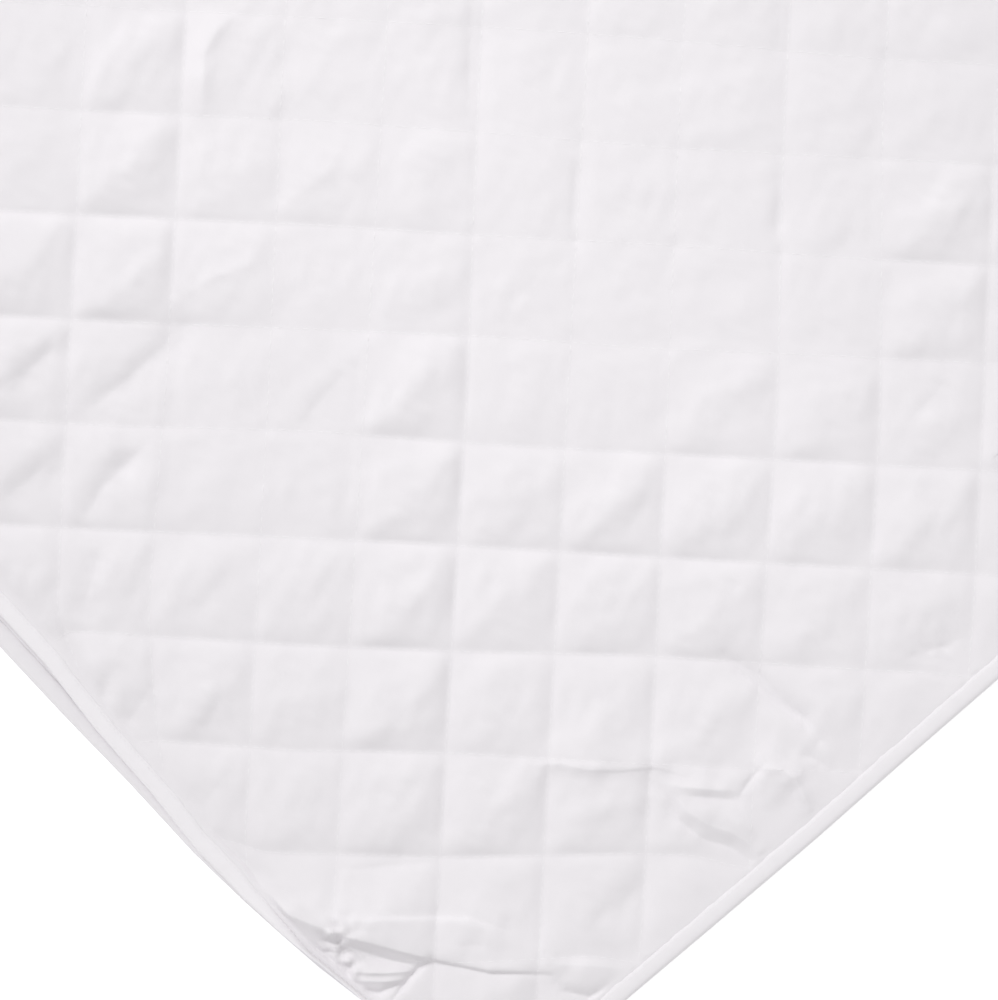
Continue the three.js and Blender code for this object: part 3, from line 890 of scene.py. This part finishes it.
# How far the tape swells between its edge and the stitches, how much of its thickness it loses
# past them, and how far its faces and its inner edge waver, in waves of these lengths
PLUMP = 0.3
PRESSED = 0.85
PUCKER = 0.16
PUCKER_LENGTHS = (7.3, 11.9, 17.7)
EDGE_WAVER = 0.3
EDGE_LENGTHS = (23.0, 41.0, 67.0)
CALM_END = 20.0


def folded_tape(place):
    """Distance inward and height of a place on the tape, counted from its middle line."""
    angle = np.clip(place, -NOSE_HALF, NOSE_HALF) / TAPE_MIDDLE
    beyond = np.maximum(np.abs(place) - NOSE_HALF, 0.0)
    inward = TAPE / 2.0 + TAPE_MIDDLE * (1.0 - np.cos(angle)) + beyond
    return inward, TAPE_MIDDLE * np.sin(angle)


def waver(distance, seed, lengths):
    """A smooth irregular wave between about -1 and 1."""
    phases = np.random.default_rng(seed).uniform(0.0, 2.0 * math.pi, len(lengths))
    waves = [
        np.sin(2.0 * math.pi * distance / length + phase)
        for length, phase in zip(lengths, phases)
    ]
    return sum(waves) / math.sqrt(len(lengths))


def bound_tape(name, node, stops, place, plump, painted_shade_share, seed):
    """One tape over an edge, and its stitch row. place gives route and across for a station along
    it and a distance inward, plump how far the outer and the inner face swell at each station,
    and the last argument the share of the tape's white that is kept, a painted shade that
    darkens the tapes lying in more shade."""
    tape = flat_grid(name, stops, TAPE_ROWS)
    flat = read_places(tape)
    station, tape_place = flat[:, 0], flat[:, 1]
    inward, height = folded_tape(tape_place)
    ends = smooth(0.0, CALM_END, station - stops[0]) * smooth(0.0, CALM_END, stops[-1] - station)
    on_leg = smooth(NOSE_HALF, TAPE_HALF_WIDTH, np.abs(tape_place))
    swell = np.sin(math.pi * np.clip(inward / STITCH_ROW, 0.0, 1.0))
    outer_swell, inner_swell = plump(station)
    swollen = np.where(tape_place > 0.0, outer_swell * swell, -inner_swell * swell)
    puckers = PUCKER * waver(station, seed, PUCKER_LENGTHS) * on_leg * ends
    puckers = puckers * np.where(tape_place > 0.0, outer_swell, inner_swell) / PLUMP
    edge = EDGE_WAVER * waver(station, seed + 1, EDGE_LENGTHS) * on_leg * ends
    route, across = place(station, inward + edge)
    write_places(tape, laid(route, across, height + swollen + puckers) * MM)
    write_cloth_map(tape, flat)
    cloth = tape.modifiers.new("cloth", "SOLIDIFY")
    cloth.thickness = TAPE * MM
    cloth.offset = 0.0
    bpy.ops.object.modifier_apply(modifier=cloth.name)
    first, second = np.split(read_places(tape), 2)
    core = laid(*place(station, np.full_like(station, BINDING_WIDTH / 2.0)), 0.0) * MM
    first_is_outer = np.linalg.norm(first - core) > np.linalg.norm(second - core)
    outer, inner = (first, second) if first_is_outer else (second, first)
    on_row = np.flatnonzero(np.isclose(tape_place, STITCH_PLACE, atol=0.01))
    on_row = on_row[np.argsort(station[on_row])]
    stitch_row = {"station": station[on_row], "outer": outer[on_row], "inner": inner[on_row]}
    pressed = 1.0 - PRESSED * smooth(STITCH_PLACE, TAPE_HALF_WIDTH, np.abs(tape_place))[:, None]
    thinned = inner + (outer - inner) * pressed
    write_places(tape, np.concatenate([thinned, inner] if first_is_outer else [inner, thinned]))
    bpy.ops.object.shade_smooth()
    # The tape's white is darkened by its share, as painted shade for the shade that the tape lies in.
    tape_cotton = cloth_material(
        name + "_cotton",
        light=tuple(painted_shade_share * part for part in TAPE_LIGHT),
        dark=tuple(painted_shade_share * part for part in TAPE_DARK),
        threads_a_metre=2200.0,
        lumps_a_metre=120.0,
        roughness=0.95,
    )
    tape.data.materials.clear()
    tape.data.materials.append(tape_cotton)
    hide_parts(node)
    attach(tape, "root")
    return tape, stitch_row


def even_stops(first, last):
    return list(np.linspace(first, last, int(round((last - first) / TAPE_STATION)) + 1))


def side_plump(station):
    """Swells the outer face alone, and on the upper layer alone."""
    return PLUMP * (1.0 - smooth(FOLD_ALONG, FOLD_END, station)), np.zeros_like(station)


# Each tape's share of white is painted shade: the lower end, shaded by the upper layer over it, is
# painted darkest, and the sides a little darker than the upper end.
upper_end, upper_end_row = bound_tape(
    "tape_upper_end",
    "binding_upper_end",
    stops=even_stops(TAPE_END, WIDTH - TAPE_END),
    place=lambda station, inward: (inward, station),
    plump=lambda station: (np.full_like(station, PLUMP), np.zeros_like(station)),
    painted_shade_share=1.0,
    seed=3,
)
lower_end, _ = bound_tape(
    "tape_lower_end",
    "binding_lower_end",
    stops=even_stops(TAPE_END, WIDTH - TAPE_END),
    place=lambda station, inward: (FLAT_LENGTH - inward, station),
    plump=lambda station: (np.zeros_like(station), np.full_like(station, PLUMP / 2.0)),
    painted_shade_share=0.945,
    seed=5,
)
right_side, right_side_row = bound_tape(
    "tape_right_side",
    "binding_right_side",
    stops=even_stops(0.0, FLAT_LENGTH),
    place=lambda station, inward: (station, inward),
    plump=side_plump,
    painted_shade_share=0.96,
    seed=7,
)
left_side, left_side_row = bound_tape(
    "tape_left_side",
    "binding_left_side",
    stops=even_stops(0.0, FLAT_LENGTH),
    place=lambda station, inward: (station, WIDTH - inward),
    plump=side_plump,
    painted_shade_share=0.98,
    seed=9,
)

# The sewing thread: white cotton, in running stitches along every seam of the diamonds and in one
# closer row near the inner edge of the tape. One stitch is modelled and set down along each seam.
THREAD = 0.45
QUILTING_STITCH = 4.2
QUILTING_PITCH = 6.0
BINDING_STITCH = 2.6
BINDING_PITCH = 3.4
SEAMS_EACH_WAY = 30
TAPE_CLEARANCE = 2.5

# A stitch is full as far as its shoulders, and its ends sink by a share of the thread. Its middle
# stands off the cloth by another, and it turns with the cloth felt a little ahead and beside.
SHOULDER = 0.8
SINK = 0.5
RISE = 0.2
AHEAD = 0.5
BESIDE = 1.5

sewing_cotton = cloth_material(
    "sewing_cotton",
    light=(0.86, 0.84, 0.86),
    dark=(0.83, 0.81, 0.83),
    threads_a_metre=3000.0,
    lumps_a_metre=200.0,
    roughness=0.8,
)


def one_stitch(length, thickness):
    """The corners and faces of one stitch that lies along X, its ends sunk in the cloth."""
    deselect_everything()
    bpy.ops.mesh.primitive_uv_sphere_add(segments=4, ring_count=3, radius=1.0)
    stitch = bpy.context.object
    bpy.ops.object.mode_set(mode="EDIT")
    bpy.ops.mesh.select_all(action="SELECT")
    bpy.ops.mesh.quads_convert_to_tris()
    bpy.ops.object.mode_set(mode="OBJECT")
    ball = read_places(stitch)
    on_ring = ~np.isclose(np.abs(ball[:, 2]), 1.0)
    ball[on_ring, :2] /= np.hypot(ball[on_ring, 0], ball[on_ring, 1])[:, None]
    ball[on_ring, 2] = np.sign(ball[on_ring, 2]) * SHOULDER
    faces = np.array([face.vertices[:] for face in stitch.data.polygons])
    along, sideward, upward = ball[:, 2], ball[:, 0], -ball[:, 1]
    places = np.stack(
        [along * length / 2.0, sideward * thickness / 2.0, upward * thickness / 2.0], axis=-1
    )
    places[:, 2] -= SINK * thickness * (2.0 * places[:, 0] / length) ** 2
    bpy.ops.object.delete()
    return places, faces


def of_unit_length(directions):
    return directions / np.linalg.norm(directions, axis=1)[:, None]


def sewn(name, stitch, middles, forward, upward):
    """Copies of one stitch, each at a middle, pointing forward along its row and out of the cloth."""
    places, faces = stitch
    forward = of_unit_length(forward)
    sideward = of_unit_length(np.cross(upward, forward))
    upward = np.cross(forward, sideward)
    corners = (
        middles[:, None, :]
        + places[None, :, 0, None] * forward[:, None, :]
        + places[None, :, 1, None] * sideward[:, None, :]
        + places[None, :, 2, None] * upward[:, None, :]
    )
    all_faces = faces[None, :, :] + len(places) * np.arange(len(middles))[:, None, None]
    mesh = bpy.data.meshes.new(name)
    mesh.from_pydata((corners.reshape(-1, 3) * MM).tolist(), [], all_faces.reshape(-1, 3).tolist())
    thread = bpy.data.objects.new(name, mesh)
    bpy.context.scene.collection.objects.link(thread)
    mesh.materials.append(sewing_cotton)
    mesh.shade_smooth()
    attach(thread, "root")
    return thread


def quilted_point(route, across):
    return laid(route, across, quilted_height(route, across) + THREAD * RISE)


def seam_stitches():
    """Route and across of every stitch's middle on the quilted seams, and the way each points."""
    found = []
    reach = PITCH * SEAMS_EACH_WAY
    runs = np.arange(-reach, reach, QUILTING_PITCH) + QUILTING_PITCH / 2.0
    for way in (1.0, -1.0):
        for seam in range(-SEAMS_EACH_WAY, SEAMS_EACH_WAY + 1):
            seat = np.full_like(runs, seam * PITCH)
            right, near = (seat, runs) if way > 0.0 else (runs, seat)
            route = CROSSING_ALONG + (right - near) / math.sqrt(2.0)
            across = CROSSING_ACROSS - (right + near) / math.sqrt(2.0)
            to_side = edge_distances(route, across)[1]
            clear = np.minimum(route, to_side) > SLOPE_TOP + TAPE_CLEARANCE
            clear = clear & (route < FOLD_END - FOLD_RADIUS)
            for place in zip(route[clear], across[clear]):
                found.append((*place, -AHEAD * way, -AHEAD))
    return np.array(found)


route, across, ahead_route, ahead_across = seam_stitches().T
by_route = quilted_point(route + BESIDE, across) - quilted_point(route - BESIDE, across)
by_across = quilted_point(route, across + BESIDE) - quilted_point(route, across - BESIDE)
middles = quilted_point(route, across)
quilting_thread = sewn(
    "quilting_thread",
    one_stitch(QUILTING_STITCH, THREAD),
    middles,
    quilted_point(route + ahead_route, across + ahead_across) - middles,
    np.cross(by_route, by_across),
)


def tape_stitches(row, last):
    """Middles, ways forward and ways out of the cloth of the stitches of one tape's row."""
    first = row["station"][0] + BINDING_WIDTH
    last = min(row["station"][-1] - BINDING_WIDTH, last)
    stations = np.arange(first, last, BINDING_PITCH)

    def on_face(face, offset):
        parts = [np.interp(stations + offset, row["station"], part) for part in row[face].T]
        return np.stack(parts, axis=-1)

    middles = on_face("outer", 0.0)
    forward = on_face("outer", 1.0) - on_face("outer", -1.0)
    return middles, forward, middles - on_face("inner", 0.0)


tape_rows = [
    tape_stitches(upper_end_row, WIDTH),
    tape_stitches(right_side_row, FOLD_END - FOLD_RADIUS),
    tape_stitches(left_side_row, FOLD_END - FOLD_RADIUS),
]
middles, forward, upward = (np.concatenate(parts) for parts in zip(*tape_rows))
upward = of_unit_length(upward)
binding_thread = sewn(
    "binding_thread",
    one_stitch(BINDING_STITCH, THREAD),
    middles / MM + upward * THREAD * RISE,
    forward,
    upward,
)

# The floor is plain white, and the light is soft: a bright surround, one broad lamp from the upper
# left of the view that draws the pillows, and a faint pool of light near the view's upper edge,
# from a second lamp on the same side.
FLOOR_WHITE = 0.9
FLOOR_GLOW = 0.35
SURROUND_GLOW = 0.777
LAMP_BEARING = math.radians(83.0)
LAMP_HEIGHT = math.radians(40.0)
POOL_PLACE = (-0.06, 0.044)
POOL_LAMP_AWAY = 2.2
POOL_LAMP_HEIGHT = 2.6

bpy.ops.mesh.primitive_plane_add(size=12.0)
floor = bpy.context.object
floor.name = "floor"
white = bpy.data.materials.new("white_floor")
white.use_nodes = True
floor_shader = white.node_tree.nodes["Principled BSDF"]
set_inputs(floor_shader, {"Base Color": (FLOOR_WHITE, FLOOR_WHITE, FLOOR_WHITE, 1.0)})
set_inputs(floor_shader, {"Roughness": 1.0, "Specular IOR Level": 0.0})
set_inputs(floor_shader, {"Emission Color": WHITE, "Emission Strength": FLOOR_GLOW})
floor.data.materials.append(white)

world = bpy.data.worlds.new("surround")
bpy.context.scene.world = world
world.use_nodes = True
surround = world.node_tree.nodes["Background"]
set_inputs(surround, {"Color": WHITE, "Strength": SURROUND_GLOW})

bpy.ops.object.light_add(type="SUN", location=(0.0, 0.0, 2.0))
lamp = bpy.context.object
lamp.name = "lamp"
lamp.data.energy = 1.25
lamp.data.angle = math.radians(12.0)
lamp.rotation_euler = (0.0, math.pi / 2.0 - LAMP_HEIGHT, LAMP_BEARING)

bpy.ops.object.light_add(
    type="SPOT",
    location=(
        POOL_PLACE[0] + POOL_LAMP_AWAY * math.cos(LAMP_BEARING),
        POOL_PLACE[1] + POOL_LAMP_AWAY * math.sin(LAMP_BEARING),
        POOL_LAMP_HEIGHT,
    ),
)
pool = bpy.context.object
pool.name = "far_lamp"
pool.data.energy = 80.0
pool.data.spot_size = math.radians(16.0)
pool.data.spot_blend = 1.0
pool.data.shadow_soft_size = 0.3
pool.rotation_euler = (0.0, math.atan2(POOL_LAMP_AWAY, POOL_LAMP_HEIGHT), LAMP_BEARING)

bpy.context.scene.view_settings.view_transform = "Standard"
